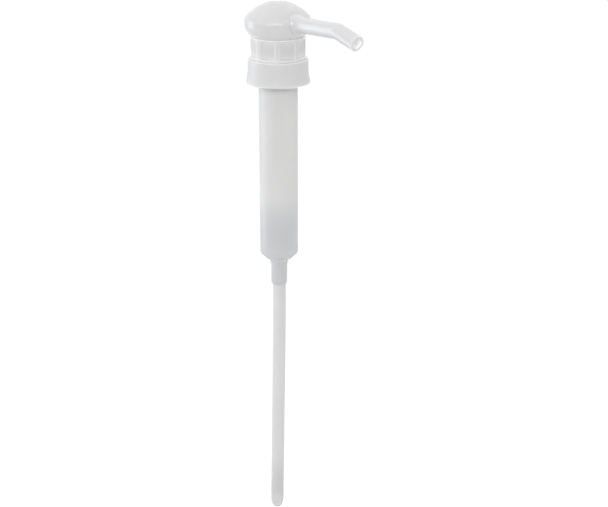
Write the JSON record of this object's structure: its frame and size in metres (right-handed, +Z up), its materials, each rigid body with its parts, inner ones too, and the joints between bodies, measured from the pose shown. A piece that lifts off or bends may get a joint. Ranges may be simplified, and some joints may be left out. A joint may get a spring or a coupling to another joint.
{
  "type": "condiment pump dispenser",
  "caption": "White lock-down condiment pump with a domed head and bent spout, screw closure, milky barrel and dip tube.",
  "frame": {"origin": "on the pump's axis, at the underside of the neck gasket, where the container's rim seats", "axes": "+Z up along the pump's axis, from the dip tube to the head; +X the way the spout points"},
  "size_m": [0.1023, 0.0448, 0.3702],
  "materials": {
    "head_gloss": "smooth moulded white polypropylene, glossy",
    "hub_plastic": "moulded white polypropylene, plain gloss",
    "collar_plastic": "moulded white polypropylene, satin gloss",
    "closure_plastic": "moulded white polypropylene, satin gloss",
    "barrel_plastic": "milky translucent natural polypropylene, satin",
    "tube_plastic": "milky translucent polyethylene tube, satin",
    "rod_plastic": "smooth extruded white polypropylene",
    "natural_plastic": "moulded natural polypropylene",
    "soft_plastic": "soft natural polyethylene",
    "gasket_rubber": "pale food-grade elastomer",
    "spring_steel": "drawn stainless wire",
    "ball_steel": "polished stainless ball"
  },
  "bodies": {
    "barrel_assembly": {"cylinder": "barrel_plastic", "neck_gasket": "gasket_rubber", "stem_guide": "natural_plastic", "guide_o_ring": "gasket_rubber", "stem_wiper": "soft_plastic", "lock_collar": "collar_plastic", "inlet_cage": "natural_plastic", "return_spring": "spring_steel", "dip_tube": "tube_plastic"},
    "closure": {"closure_cap": "closure_plastic"},
    "piston": {"piston_body": "natural_plastic", "piston_seal": "soft_plastic", "piston_retainer": "natural_plastic", "outlet_cage": "natural_plastic"},
    "head": {"head_dome": "head_gloss", "nozzle_hub": "hub_plastic", "spout_tube": "head_gloss", "spout_o_ring": "gasket_rubber", "stem": "rod_plastic"},
    "inlet_check": {"inlet_ball": "ball_steel"},
    "outlet_check": {"outlet_ball": "ball_steel"}
  },
  "joints": [
    {"name": "plunger_stroke", "type": "slide", "parent": "barrel_assembly", "child": "piston", "axis": [0, 0, 1], "range_m": [0, 0.071], "deforming": ["return_spring"]},
    {"name": "head_swivel", "type": "hinge", "parent": "piston", "child": "head", "pos_m": [0, 0, 0], "axis": [0, 0, 1], "continuous": true},
    {"name": "closure_spin", "type": "hinge", "parent": "barrel_assembly", "child": "closure", "pos_m": [0, 0, 0], "axis": [0, 0, 1], "continuous": true},
    {"name": "inlet_check_lift", "type": "slide", "parent": "barrel_assembly", "child": "inlet_check", "axis": [0, 0, 1], "range_m": [0, 0.0035]},
    {"name": "outlet_check_lift", "type": "slide", "parent": "piston", "child": "outlet_check", "axis": [0, 0, 1], "range_m": [0, 0.003]}
  ]
}
